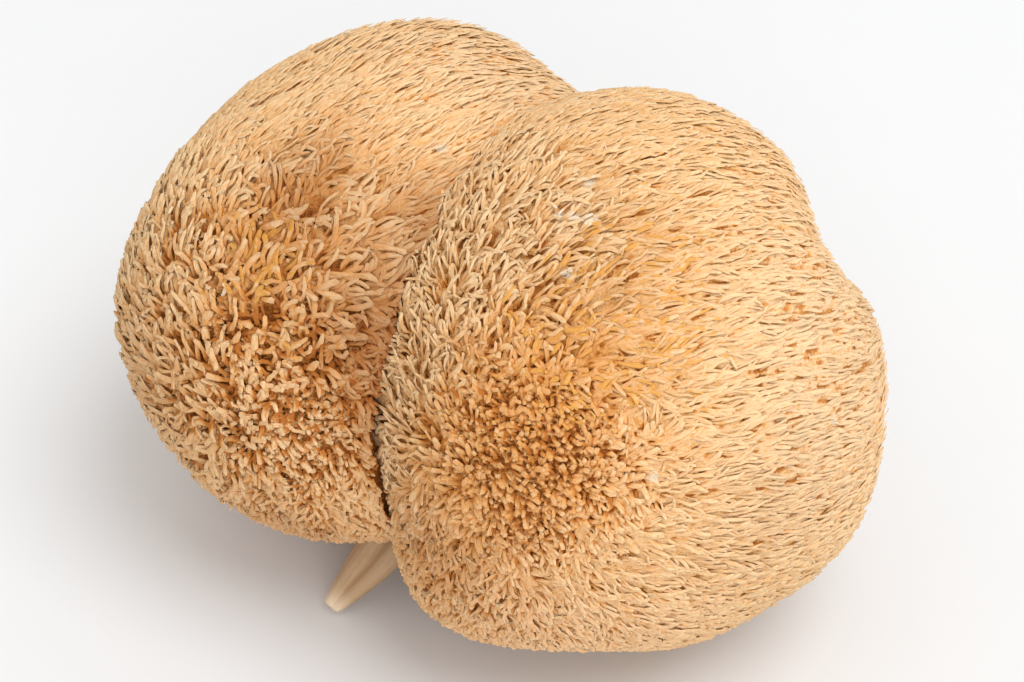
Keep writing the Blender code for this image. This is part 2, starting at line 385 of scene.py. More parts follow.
    def pits(self, rays, places):
        """Gaps between the ridges of the matted coat, from 0 to 1."""
        upright, shaggy = self.upright(rays), self.shaggy(rays)
        drawn = self.drawn_out(rays, places, "pits", 3) * PIT_SHARPNESS
        knobbly = rough(places, "pit_knobs") * PIT_KNOB_SHARPNESS
        ridged = np.abs(blend(drawn, knobbly, np.clip(upright + 0.4 * shaggy, 0.0, 1.0)))
        opened = 0.40 * upright + 0.25 * shaggy + 0.28 * self.fused(rays)
        return smooth_step(*PIT_EDGES, ridged + opened)

    def drawn_out(self, rays, places, name, steps):
        """One of the noises smeared along the lie of the spines."""
        flow = self.flow(rays, places)
        total = np.zeros(len(rays))
        for step in range(-steps, steps + 1):
            total += rough(places + flow * (step * SMEAR_STEP * MILLI), name)
        return total / (2 * steps + 1) ** SMEAR_POWER

    def tints(self, rays):
        """How strongly each kind of coloured patch shows along each ray, from 0 to 1."""
        return {kind: patches(rays, TINTS[self.name][kind]) for kind in TINT_KINDS}

    def speck(self, rays):
        """How close each ray is to one of the bare white specks, from 0 to 1."""
        return np.max([near(rays, *place, SPECK_WIDTH) for place in SPECKS[self.name]], axis=0)

    def flow(self, rays, points):
        """Sideways direction in which the spines lie at each point."""
        hub = direction(*self.hub)
        away = unit(rays * (rays @ hub)[:, None] - hub)
        hang = unit(self.hang - rays * (rays @ self.hang)[:, None])
        hung = self.hung(rays)[:, None]
        mixed = away * (1.0 - hung) + hang * hung
        for *place, strength, lie in COMBED[self.name]:
            mixed = mixed + (strength * near(rays, *place))[:, None] * np.array(lie)
        behind = (1.0 - self.seen(rays))[:, None]
        mixed = mixed * (1.0 - behind) - UP * (2.0 * behind)
        by_seam = np.exp(-((self.beyond_seam(points) / (6.0 * MILLI)) ** 2))
        mixed = mixed - UP * (by_seam * smooth_step(0.80, 0.5, rays[:, 2]))[:, None]
        return unit(mixed - rays * np.sum(mixed * rays, axis=1, keepdims=True))


def make_heads():
    """Both heads, each knowing the other."""
    front, rear = map(HeadForm, HEADS)
    front.other, rear.other = rear, front
    return front, rear


# ---- Spines ----


def tube(sides, cuts):
    """An upright unit tube with closed ends and some rings between them."""
    form = bmesh.new()
    bmesh.ops.create_cone(form, cap_ends=True, segments=sides, radius1=1.0, radius2=1.0, depth=1.0)
    lengthwise = [edge for edge in form.edges if edge.verts[0].co.z * edge.verts[1].co.z < 0.0]
    bmesh.ops.subdivide_edges(form, edges=lengthwise, cuts=cuts, use_grid_fill=True)
    return form


def turn_of(place):
    """Angle of a place round the tube."""
    return math.atan2(place.y, place.x)


def turn_by(place, turn):
    """Angle of a place round the tube, counted on from another angle near it."""
    return turn + math.remainder(turn_of(place) - turn, math.tau)


class SpineTemplate:
    """One spine as a tube with a few sides and rings, a pointed end and a closed foot."""

    def __init__(self, sides, stations):
        form = tube(sides, len(stations) - 2)
        bmesh.ops.poke(form, faces=[face for face in form.faces if face.calc_center_median().z > 0.499])
        form.verts.ensure_lookup_table()
        rings = len(stations)
        self.stations = np.array((*stations, 1.0))
        self.ring, self.angle, self.reach = [], [], []
        for vert in form.verts:
            at_tip = vert.co.xy.length < 0.5
            self.ring.append(rings if at_tip else round((vert.co.z + 0.5) * (rings - 1)))
            self.angle.append(turn_of(vert.co))
            self.reach.append(0.0 if at_tip else 1.0)
        corners, sizes, around, along = [], [], [], []
        for face in form.faces:
            middle = face.calc_center_median()
            turn = turn_of(middle)
            sizes.append(len(face.verts))
            for vert in face.verts:
                corners.append(vert.index)
                if middle.z < -0.499:
                    around.append(0.5 + 0.05 * vert.co.x)
                    along.append(0.05 + 0.05 * vert.co.y)
                else:
                    angle = turn_by(vert.co, turn) if self.reach[vert.index] else turn
                    around.append(0.5 + angle / math.tau)
                    along.append(0.12 + 0.88 * self.ring[vert.index] / rings)
        form.free()
        for name, values in (
            ("ring", self.ring), ("angle", self.angle), ("reach", self.reach),
            ("corners", corners), ("sizes", sizes), ("around", around), ("along", along),
        ):
            setattr(self, name, np.array(values))


CURLED_SPINE = SpineTemplate(4, (0.0, 0.24, 0.48, 0.72, 0.93))
LYING_SPINE = SpineTemplate(3, (0.0, 0.34, 0.66, 0.92))
STUB_SPINE = SpineTemplate(4, (0.0, 0.45, 0.88))


def resample(values, shares):
    """Values given at STATIONS, read off at other shares of the length."""
    places = np.interp(shares, STATIONS, np.arange(len(STATIONS)))
    before = np.minimum(places.astype(int), len(STATIONS) - 2)
    part = (places - before).reshape(-1, *[1] * (values.ndim - 1))
    return values[before] * (1.0 - part) + values[before + 1] * part


def scatter(head, settings, generator):
    """Unit rays to the spines' feet, and the feet, kept apart by the kind of spine."""
    rays = unit(generator.normal(size=(settings.tries, 3)))
    feet = head.centre + rays * head.mat_radius(rays, head.mat_depth(rays))[:, None]
    own_side = head.beyond_seam(feet) < 1.3 * head.grown_in(rays) - 0.45 * MILLI
    keep = (own_side | head.bare(feet)) & (feet[:, 2] > 0.3 * MILLI)
    keep &= stem_clearance(feet) > 0.5 * MILLI
    rays, feet = rays[keep], feet[keep]
    upright, shaggy = head.upright(rays), head.shaggy(rays)
    apart = blend(settings.lying_spacing, settings.upright_spacing, upright)
    apart = blend(apart, settings.shaggy_spacing * head.curl_spacing, shaggy)
    apart *= 1.0 + FUSED_SPACING * head.fused(rays) * (1.0 - upright) * (1.0 - shaggy)
    uneven = 1.0 + SPACING_VARIES * rough(feet, "spacing")
    apart *= (1.0 + UNSEEN_SPACING * (1.0 - head.seen(rays))) * uneven
    taken, chosen = {}, []
    for index, (foot, gap) in enumerate(zip((feet / SPACING_CELL).tolist(), apart.tolist())):
        room = (gap / SPACING_CELL) ** 2
        x, y, z = foot
        i, j, k = map(math.floor, foot)
        crowded = any(
            (u - x) ** 2 + (v - y) ** 2 + (w - z) ** 2 < room
            for a in (i - 1, i, i + 1)
            for b in (j - 1, j, j + 1)
            for c in (k - 1, k, k + 1)
            for u, v, w in taken.get((a, b, c), ())
        )
        if not crowded:
            taken.setdefault((i, j, k), []).append(foot)
            chosen.append(index)
    return rays[chosen], feet[chosen]


def draw_together(line, upright, settings, generator):
    """Bend centre lines so that neighbouring tips meet in tufts."""
    count = line.shape[1]
    leaders = generator.choice(count, count // settings.per_tuft, replace=False)
    tree = kdtree.KDTree(len(leaders))
    for number, leader in enumerate(leaders):
        tree.insert(line[-1][leader].tolist(), number)
    tree.balance()
    nearest = leaders[[tree.find(tip)[1] for tip in line[-1].tolist()]]
    pull = line[-1][nearest] - line[-1]
    in_reach = np.linalg.norm(pull, axis=1) < TUFT_REACH
    grip = settings.tufting * (1.0 + 0.3 * upright) * generator.uniform(*TUFT_RANGE, count)
    pull = pull * (grip * in_reach)[:, None]
    for step in range(1, len(STATIONS)):
        line[step] += pull * STATIONS[step] ** 1.2


def grow(head, settings, generator):
    """Every spine of a head: its centre line, width and tints, as arrays."""
    rays, feet = scatter(head, settings, generator)
    count = len(rays)
    upright, shaggy = head.upright(rays), head.shaggy(rays)
    lying = (1.0 - upright) * (1.0 - shaggy)
    fused = head.fused(rays) * lying
    unruly = 0.26 + 0.44 * upright + 0.55 * shaggy - 0.12 * fused
    swing = rough(feet, "swing") * (2.0 * unruly + 1.2 * upright)
    swing += generator.normal(size=count) * (0.55 * unruly + 0.30 * upright)
    bend = rough(feet, "bend") * (0.8 + 1.2 * shaggy) + generator.normal(size=count) * 1.2 * unruly
    bend *= 1.0 - 0.4 * fused
    flow = head.flow(rays, feet)
    side = np.cross(rays, flow)
    reach = blend(settings.long_spine, settings.short_spine, upright)
    reach = blend(reach, settings.shaggy_spine * head.curl_length, shaggy)
    reach = reach * (1.0 - 0.2 * fused) * generator.uniform(*REACH_RANGE, count)
    reach *= 1.0 + REACH_VARIES * rough(feet, "reach")
    line = np.zeros((len(STATIONS), count, 3))
    line[0] = feet
    for step in range(1, len(STATIONS)):
        share = (STATIONS[step] + STATIONS[step - 1]) / 2
        turn = swing + bend * (share - 0.4) * (1.0 + share)
        across = flow * np.cos(turn)[:, None] + side * np.sin(turn)[:, None]
        line[step] = line[step - 1] + across * (reach * (STATIONS[step] - STATIONS[step - 1]))[:, None]
    line[1:] += generator.normal(size=line[1:].shape) * settings.kink
    # Spines that would lie across a pit are left out.
    before, after = (head.pits(unit(line[step] - head.centre), line[step]) * lying for step in (2, 3))
    kept = np.flatnonzero((after < 0.62) & (before * fused < 0.60))
    line, count = line[:, kept], len(kept)
    rays, side, upright, shaggy, lying, fused = (
        values[kept] for values in (rays, side, upright, shaggy, lying, fused)
    )
    draw_together(line, upright, settings, generator)
    width = 1.0 + (head.curl_width - 1.0) * shaggy + 0.15 * upright + 0.15 * fused
    width = settings.spine_width / 2 * width * generator.uniform(*WIDTH_RANGE, count)
    flat = 1.0 - 0.35 * lying - 0.25 * fused
    # Sink the feet into the matted coat, and raise the tips to the head's outer form.
    spoke_rays = unit(line.reshape(-1, 3) - head.centre)
    outer = head.outer_radius(spoke_rays)
    valleys = head.valleys(rays)
    foot_depth = head.mat_depth(rays) + (0.30 + 0.30 * (1.0 - lying) - 0.10 * fused) * MILLI
    tip_depth = generator.uniform(0.0, 1.0, count) ** 1.2 * (0.55 + 0.45 * upright + 0.40 * shaggy) * MILLI
    standing_out = generator.uniform(0.0, 1.0, count) < STANDING_SHARE
    tip_depth = np.where(standing_out & (shaggy > CURLED_FROM), -0.4 * MILLI, tip_depth)
    tip_depth = tip_depth + 0.90 * valleys * MILLI
    lowered = np.where(standing_out, -0.2, generator.uniform(*LOWERED_RANGE, count)) * MILLI
    tip_depth = blend(tip_depth, lowered, fused)
    share = STATIONS[:, None]
    rise = share * upright + (1.0 - (1.0 - share) ** 2) * (1.0 - upright)
    rise += (share ** 1.4 - rise) * fused * 0.8
    depth = blend(foot_depth, tip_depth, rise)
    depth[1:] += generator.normal(size=depth[1:].shape) * settings.kink * 0.7
    proud = standing_out * (0.30 + 0.30 * shaggy) * MILLI
    depth = np.maximum(depth, width * flat - share ** 2 * proud)
    points = head.centre + spoke_rays * (outer - depth.ravel())[:, None]
    allowed = settings.seam_cross * generator.uniform(0.3, 1.0, len(points))
    points = points - head.seam_normal * np.maximum(head.beyond_seam(points) - allowed, 0.0)[:, None]
    points[:, 2] = np.maximum(points[:, 2], np.tile(width * 0.7, len(STATIONS)))
    # Colour depth: spines are coloured browner towards their feet, partly their own colour and partly
    # painted shade deep in the coat.
    deep = (outer - np.linalg.norm(points - head.centre, axis=1)) / MILLI
    deep -= VALLEY_LOOK * np.tile(valleys, len(STATIONS))
    return {
        "line": points.reshape(len(STATIONS), count, 3),
        "deep": deep.reshape(len(STATIONS), count),
        "side": side,
        "width": width,
        "flat": flat,
        "point": 0.35 * lying + 0.65 * fused,
        "upright": upright,
        "shaggy": shaggy,
        "tone": generator.uniform(size=count),
        **head.tints(rays),
    }


def coat_mesh(name, head, spines, chosen, template, generator):
    """One mesh of many spines, each with its own cell of the UV map."""
    count, verts, rings = len(chosen), len(template.ring), len(template.stations)
    line = resample(spines["line"][:, chosen], template.stations)
    deep = resample(spines["deep"][:, chosen], template.stations)
    course = unit(np.concatenate([line[1:], line[-1:]]) - np.concatenate([line[:1], line[:-1]]))
    side = spines["side"][chosen][None]
    side = unit(side - course * np.sum(side * course, axis=2, keepdims=True))
    above = np.cross(course, side)
    point = spines["point"][chosen]
    pointed, blunt = (
        np.interp(template.stations, *girth)[:, None] for girth in (POINTED_GIRTH, BLUNT_GIRTH)
    )
    girth = (pointed * point + blunt * (1.0 - point)) * spines["width"][chosen]
    girth = girth * generator.uniform(*GIRTH_RANGE, (rings, count))
    angle = template.angle[:, None] - template.angle[0] + math.pi / 2 + generator.uniform(-0.3, 0.3, count)
    reach = template.reach[:, None] * girth[template.ring]
    side, above = side[template.ring], above[template.ring]
    ridge = np.sin(angle) * reach
    places = line[template.ring] + side * (np.cos(angle) * reach)[..., None]
    places = places + above * (ridge * spines["flat"][chosen])[..., None]
    places = places.transpose(1, 0, 2).reshape(-1, 3)
    places[:, 2] = np.maximum(places[:, 2], 0.0)
    bulge = side * np.cos(angle)[..., None] + above * np.sin(angle)[..., None]
    bulge *= template.reach[:, None, None] * ROUND_LOOK
    outward = unit(places - head.centre)
    sizes = np.tile(template.sizes, count)
    corners = (template.corners[None, :] + verts * np.arange(count)[:, None]).ravel()
    mesh = bpy.data.meshes.new(name)
    starts = np.concatenate([[0], np.cumsum(sizes)[:-1]])
    for part, key, values in (
        (mesh.vertices, "co", places.astype(np.float32)),
        (mesh.loops, "vertex_index", corners.astype(np.int32)),
        (mesh.polygons, "loop_start", starts.astype(np.int32)),
    ):
        part.add(len(values))
        part.foreach_set(key, values.ravel())
    mesh.update(calc_edges=True)
    mesh.shade_smooth()
    mesh.normals_split_custom_set_from_vertices(unit(outward + bulge.transpose(1, 0, 2).reshape(-1, 3)))
    columns = math.ceil(math.sqrt(count))
    cell, margin = np.arange(count)[:, None], 0.06
    uv = np.zeros((count, len(template.corners), 2))
    uv[..., 0] = cell % columns + margin + (1 - 2 * margin) * template.around
    uv[..., 1] = cell // columns + margin + (1 - 2 * margin) * template.along
    layer = mesh.uv_layers.new(name="OFBake")
    layer.data.foreach_set("uv", (uv / columns).astype(np.float32).ravel())
    # Painted shade: the lower edges of each spine are coloured deeper.
    edge_shade = (EDGE_SHADE + POINTED_EDGE_SHADE * point) * ridge / MILLI
    store(mesh, {
        "along": np.tile(template.stations[template.ring], count),
        "across": (np.cos(angle) * template.reach[:, None]).T.ravel(),
        "deep": (deep[template.ring] - edge_shade).T.ravel(),
        "speck": head.speck(outward),
        **{key: np.repeat(spines[key][chosen], verts) for key in ("tone", "upright", *TINT_KINDS)},
    })
    return mesh


def store(mesh, values_by_name):
    """Keep numbers per vertex as named attributes."""
    for name, values in values_by_name.items():
        attribute = mesh.attributes.new(name, "FLOAT", "POINT")
        attribute.data.foreach_set("value", np.asarray(values, np.float32))


# ---- Stem ----

STEM_TIP = np.array([-25.6, -20.3, 1.8]) * MILLI + FRAME_SHIFT
STEM_FORK = np.array([-7.8, -9.4, 23.5]) * MILLI + FRAME_SHIFT
STEM_SAG = 1.6 * MILLI
STEM_TIP_RADIUS = 1.5 * MILLI
STEM_FORK_RADIUS = 7.2 * MILLI
STEM_SWELL_POWER = 0.8
STEM_FLATNESS = 0.78
# Depths as shares of the radius, angles and widths in degrees round the stem.
STEM_GROOVE_DEPTH, STEM_GROOVE_ANGLE, STEM_GROOVE_WIDTH = 0.24, 55.0, 26.0
STEM_CREASE_DEPTH, STEM_CREASE_WANDER, STEM_CREASE_WIDTH = 0.13, 4.0, 8.0
# Height, turns round the stem and turns along it of its long ridges.
STEM_RIDGES = ((0.035, 2.2, 1.5), (0.018, 6.0, 3.0))
STEM_SIDES, STEM_STEPS = 72, 64


def stem_centre(share):
    """Points on the stem's gently sagging axis at shares of its length from the tip."""
    share = np.asarray(share, float)[..., None]
    return STEM_TIP + (STEM_FORK - STEM_TIP) * share - UP * STEM_SAG * np.sin(math.pi * share)


def stem_radius(share):
    """Half the stem's width at a share of its length from the tip."""
    return STEM_TIP_RADIUS + (STEM_FORK_RADIUS - STEM_TIP_RADIUS) * np.asarray(share) ** STEM_SWELL_POWER


def stem_clearance(points):
    """Distance from each point to the stem's side."""
    shares = np.linspace(0.0, 1.0, 15)
    gaps = np.linalg.norm(points[:, None] - stem_centre(shares)[None], axis=2) - stem_radius(shares)
    return gaps.min(axis=1)


# ---- Materials ----


class Value:
    """A socket of a material on which Python's operators add Math nodes."""

    def __init__(self, finish, socket):
        self.finish = finish
        self.socket = socket

    def _math(self, operation, first, second):
        return self.finish.node("ShaderNodeMath", {"operation": operation}, {0: first, 1: second})

    def __add__(self, other):
        return self._math("ADD", self, other)

    def __radd__(self, other):
        return self._math("ADD", other, self)

    def __sub__(self, other):
        return self._math("SUBTRACT", self, other)

    def __rsub__(self, other):
        return self._math("SUBTRACT", other, self)

    def __mul__(self, other):
        return self._math("MULTIPLY", self, other)

    def __rmul__(self, other):
        return self._math("MULTIPLY", other, self)


class Finish:
    """A Principled material under construction."""

    def __init__(self, name, **constants):
        self.material = bpy.data.materials.new(name)
        self.material.use_nodes = True
        self.tree = self.material.node_tree
        self.shader = self.tree.nodes["Principled BSDF"]
        for socket, value in constants.items():
            self.shader.inputs[socket.replace("_", " ")].default_value = value

    def node(self, kind, settings=None, inputs=None, output=0):
        """Add a node of a kind with its settings, then its socket values and links."""
        added = self.tree.nodes.new(kind)
        for key, value in (settings or {}).items():
            setattr(added, key, value)
        for key, value in (inputs or {}).items():
            self.feed(added.inputs[key], value)
        return Value(self, added.outputs[output])

    def feed(self, socket, value):
        """Link a Value to a socket, or set the socket to a number or colour."""
        if isinstance(value, Value):
            self.tree.links.new(value.socket, socket)
        elif socket.type == "RGBA":
            socket.default_value = (*value, 1.0)
        else:
            socket.default_value = value

    def attribute(self, name):
        """A number stored on the mesh."""
        return self.node("ShaderNodeAttribute", {"attribute_name": name}, output="Fac")

    def places(self):
        """Object coordinates."""
        return self.node("ShaderNodeTexCoord", output="Object")

    def noise(self, scale, detail=3.0, roughness=0.55, places=None, **inputs):
        """Noise from 0 to 1 on some places, or on Object coordinates."""
        places = places or self.places()
        inputs |= {"Vector": places, "Scale": scale, "Detail": detail, "Roughness": roughness}
        return self.node("ShaderNodeTexNoise", {"noise_dimensions": "3D"}, inputs)

    def between(self, value, low, high):
        """0 at low to 1 at high, held outside, with soft ends."""
        limits = {"Value": value, "From Min": low, "From Max": high}
        return self.node("ShaderNodeMapRange", {"interpolation_type": "SMOOTHSTEP"}, limits)

    def mix(self, first, second, factor, blend="MIX"):
        """Mix two colours."""
        settings = {"data_type": "RGBA", "blend_type": blend}
        return self.node("ShaderNodeMix", settings, {"Factor": factor, 6: first, 7: second}, output=2)

    def bump(self, height, distance, strength):
        """Normal raised by a height."""
        inputs = {"Height": height, "Distance": distance, "Strength": strength}
        return self.node("ShaderNodeBump", {}, inputs)

    def give(self, **values):
        """Feed some of the shader's own sockets."""
        for socket, value in values.items():
            self.feed(self.shader.inputs[socket.replace("_", " ")], value)


def colour_coat(finish, colours, fibre, along, tone, surface):
    """Colour of the coat: browner in its depth, partly its own colour and partly painted shade in gaps,
    edges and grooves; tinted by patch, with painted shade multiplied over shaded patches; streaked along
    its fibres, pale at tips.
    """
    tan, grey, pink, pale, amber, brown, upright, speck, deep = map(
        finish.attribute, ("tan", "grey", "pink", "pale", "amber", "brown", "upright", "speck", "deep")
    )
    deep = deep - surface
    spot, patch = finish.noise(800.0, 2.0), finish.noise(110.0, 2.0)
    mottle = finish.noise(1500.0, 2.0)
    spread = mottle - 0.5
    browner = finish.between(tan + (patch - 0.5) + (spot - 0.5) * 1.2 + (0.5 - tone) * 0.6, 0.1, 1.0)
    waxy = finish.between(amber * 0.26 + spot * 0.6 + fibre * 0.2 + tone * 0.45, 0.92, 1.02)
    # Sides and feet take their colours with depth: partly the spines' own browner feet, partly painted
    # shade in the gaps and fibre grooves.
    middle = finish.between(deep + spread * 0.9 - along * 0.4 + (0.5 - fibre) * 0.8, 0.22, 0.88)
    low = finish.between(deep + spread * 0.8 - along * 0.4, 0.40, 1.15)
    edge = finish.between(along * 0.5 + fibre + spread * 0.5 + tone * 0.2 - deep * 0.5, 0.80, 1.10)
    body = colours.tip
    for tint, share in (
        (colours.tan, browner * 0.8), (colours.grey, grey * 0.8), (colours.pink, pink * 0.6),
        (colours.pale, pale * 0.8), (colours.amber, waxy * 0.8), (colours.side, middle * 0.75),
        (colours.foot, low * 0.95), (colours.edge, edge * (1.0 - waxy) * (0.8 - upright * 0.4)),
        # Painted shade in the fibres' grooves.
        (colours.side, finish.between(fibre, 0.50, 0.28) * 0.5),
    ):
        body = finish.mix(body, tint, share)
    # Painted shade multiplied over the shaded patches, partly their browner colour.
    body = finish.mix(body, colours.brown, brown, "MULTIPLY")
    bare = finish.between(speck + spread * 1.4, 0.45, 0.70)
    body = finish.mix(body, colours.speck, bare * 0.85)
    finish.give(Base_Color=body, Roughness=0.85 - waxy * 0.30)
    return mottle


def coat_finish(name, colours):
    """Dry spines."""
    finish = Finish(name, Specular_IOR_Level=0.15)
    along, tone = finish.attribute("along"), finish.attribute("tone")
    strands = {"X": finish.attribute("across") * 1.3, "Y": along * 4.0, "Z": tone * 97.0}
    strands = finish.node("ShaderNodeCombineXYZ", {}, strands)
    fibre = finish.noise(1.0, 2.0, 0.6, strands)
    mottle = colour_coat(finish, colours, fibre, along, tone, 0.0)
    finish.give(Normal=finish.bump(fibre * 1.2 + mottle * 0.8, 0.25 * MILLI, 0.8))
    return finish.material


def flesh_finish(name, colours, hang):
    """The matted coat between the spines, browner in its depth, with painted shade in its seam crevice,
    pits and the gaps under the spines, and fine fibres on the far sides.
    """
    finish = Finish(name, Specular_IOR_Level=0.15)
    grain = finish.noise(2400.0, 2.0)
    turned = Vector(hang).to_track_quat("X", "Z").to_euler()
    strands = finish.node("ShaderNodeMapping", {"vector_type": "TEXTURE"}, {
        "Vector": finish.places(), "Rotation": turned, "Scale": (2.8 * MILLI, 0.50 * MILLI, 0.50 * MILLI),
    })
    combed = finish.noise(1.0, 2.0, 0.6, strands, Distortion=0.6)
    fine = grain + (combed - grain) * finish.attribute("fused")
    fibre = finish.attribute("fibre") * 0.6 + 0.2 + (fine - 0.5) * 1.2
    colour_coat(finish, colours, fibre, MAT_ALONG, finish.noise(700.0, 1.0), MAT_SURFACE)
    finish.give(Normal=finish.bump(fine + grain * 0.3, 0.4 * MILLI, 0.9))
    return finish.material


def stem_finish(colours):
    """Smooth, dry, pale stem with faint lengthwise fibres, a few darker stains and painted shade in its
    crease.
    """
    finish = Finish("stem_flesh")
    lengthwise = finish.node("ShaderNodeMapping", {}, {
        "Vector": finish.node("ShaderNodeUVMap", {"uv_map": "along_stem"}), "Scale": (26.0, 2.2, 1.0),
    })
    fibre = finish.node("ShaderNodeTexNoise", {"noise_dimensions": "2D"}, {
        "Vector": lengthwise, "Scale": 1.0, "Detail": 4.0, "Roughness": 0.6,
    })
    stain = finish.noise(140.0)
    body = finish.mix(colours.stem_shade, colours.stem, finish.between(fibre, -0.35, 0.65))
    # Painted shade darkens the crease.
    body = finish.mix(body, colours.stem_shade, finish.attribute("crease") * 0.8)
    body = finish.mix(body, colours.stem_shade, finish.between(stain, 0.56, 0.74) * 0.6)
    tip = finish.between(finish.attribute("from_tip") + stain * 0.1, 0.20, 0.02)
    relief = finish.bump(fibre + stain * 0.6, 0.35 * MILLI, 0.5)
    body = finish.mix(body, colours.stem_tip, tip)
    finish.give(Base_Color=body, Roughness=0.52 + stain * 0.25, Normal=relief)
    return finish.material


# ---- Settings ----


def number(name, description, value, **limits):
    """A number property."""
    return FloatProperty(name=name, description=description, default=value, **limits)


def length(name, description, value):
    """A length property, given in millimetres."""
    return number(name, description, value * MILLI, unit="LENGTH", precision=5)


def count_of(name, description, value):
    """A property that counts."""
    return IntProperty(name=name, description=description, default=value, min=1)


def colour(name, description, value):
    """A colour property."""
    return FloatVectorProperty(
        name=name, description=description, default=value, subtype="COLOR", size=3, min=0.0, max=1.0
    )


class CoatSettings(PropertyGroup):
    """Sizes of the spines."""

    long_spine: length("Long spine", "Sideways reach of the spines that lie flat", 4.4)
    short_spine: length("Short spine", "Sideways reach of the spines that stand upright", 1.00)
    shaggy_spine: length("Shaggy spine", "Sideways reach of the spines that curl", 3.6)
    kink: length("Kink", "How unevenly a spine's middle line runs", 0.10)
    spine_width: length("Spine width", "Width of a spine", 0.60)
    tries: count_of("Tries", "Places tried for a spine's foot", 480000)
    lying_spacing: length("Lying spacing", "Smallest gap between feet of lying spines", 0.66)
    upright_spacing: length("Upright spacing", "Smallest gap between feet of stubs", 0.66)
    shaggy_spacing: length("Shaggy spacing", "Smallest gap between feet of curled spines", 0.62)
    per_tuft: count_of("Spines per tuft", "Spines drawn together", 3)
    tufting: number("Tufting", "How far tips are drawn to their tuft", 0.55, min=0.0, max=1.0)
    seam_cross: length("Across the seam", "How far spines cross the seam", 2.1)


class ColourSettings(PropertyGroup):
    """Colours of the dried mushroom."""

    tip: colour("Tip", "Most of a spine", (0.86, 0.53, 0.26))
    edge: colour("Tip edge", "The very end of a spine", (0.91, 0.65, 0.375))
    tan: colour("Tan", "Browner patches", (0.78, 0.37, 0.12))
    grey: colour("Grey", "Greyer patches by the seam", (0.72, 0.44, 0.215))
    pale: colour("Pale", "The palest side of a head", (0.86, 0.61, 0.375))
    # Painted shade multiplied over the darkest patches, partly their browner colour.
    brown: colour("Brown", "Filter over the darkest patches", (0.50, 0.38, 0.31))
    amber: colour("Amber", "Waxy spots", (0.80, 0.38, 0.065))
    # Side: the spines' own orange sides, and painted shade on their lower edges and in the gaps.
    side: colour("Side", "Sides of a spine, between its tip and its foot", (0.80, 0.39, 0.105))
    pink: colour("Pinkish", "The stubby lower coat", (0.92, 0.585, 0.335))
    # Foot: the spines' browner feet, and painted shade in the gaps.
    foot: colour("Foot", "Foot of a spine and the gaps", (0.54, 0.175, 0.03))
    speck: colour("Speck", "Bare white specks", (0.84, 0.70, 0.52))
    stem: colour("Stem", "Smooth stem", (0.48, 0.315, 0.175))
    # Stem shade: real stains and fibres, and painted shade in the crease.
    stem_shade: colour("Stem shade", "Stains and grooves of the stem", (0.38, 0.22, 0.10))
    stem_tip: colour("Stem tip", "Paler cut tip", (0.80, 0.63, 0.44))


class StageSettings(PropertyGroup):
    """Floor, light and camera."""

    floor: colour("Floor", "Plain pale floor", (0.785, 0.797, 0.812))
    surroundings: number("Surroundings", "Even light from all round", 0.77)
    key_power: number("Key light", "Power of the large soft light", 41.0)
    fill_power: number("Fill light", "Power of the low light from the front", 20.0)
    aim: FloatVectorProperty(
        name="Aim", description="Point at the middle of the view", default=(2.57e-3, 9.96e-3, 30.0e-3),
        subtype="XYZ", unit="LENGTH", precision=5,
    )
    distance: length("Distance", "From the camera to the aim", 427.7)
    elevation: number(
        "Elevation", "Camera's height above the horizon", math.radians(40.0), subtype="ANGLE"
    )


# ---- Pieces ----

LAMPS_AIM = Vector((0.0, 0.0, 0.03))


def add_object(context, name, data):
    """Show a mesh, lamp or camera in the scene."""
    added = bpy.data.objects.new(name, data)
    context.scene.collection.objects.link(added)
    return added


def add_piece(context, name, mesh, material, node):
    """Show a mesh in the place of a solid that it rides with."""
    mesh.materials.append(material)
    piece = add_object(context, name, mesh)
    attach(piece, "root")
    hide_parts(node)


def finely_cut_ball(head):
    """A ball of small faces, smaller still where the matted coat shows most."""
    ball = bmesh.new()
    bmesh.ops.create_icosphere(ball, subdivisions=7, radius=1.0)
    rays = np.array([vert.co for vert in ball.verts])
    shows = np.maximum(head.upright(rays), head.fused(rays) * (rays[:, 1] < 0.35)) > 0.25
    shows &= head.seen(rays) > 0.93
    fine = [edge for edge in ball.edges if all(shows[vert.index] for vert in edge.verts)]
    bmesh.ops.subdivide_edges(ball, edges=fine, cuts=1, use_grid_fill=True)
    bmesh.ops.triangulate(ball, faces=[face for face in ball.faces if len(face.verts) > 3])
    return ball


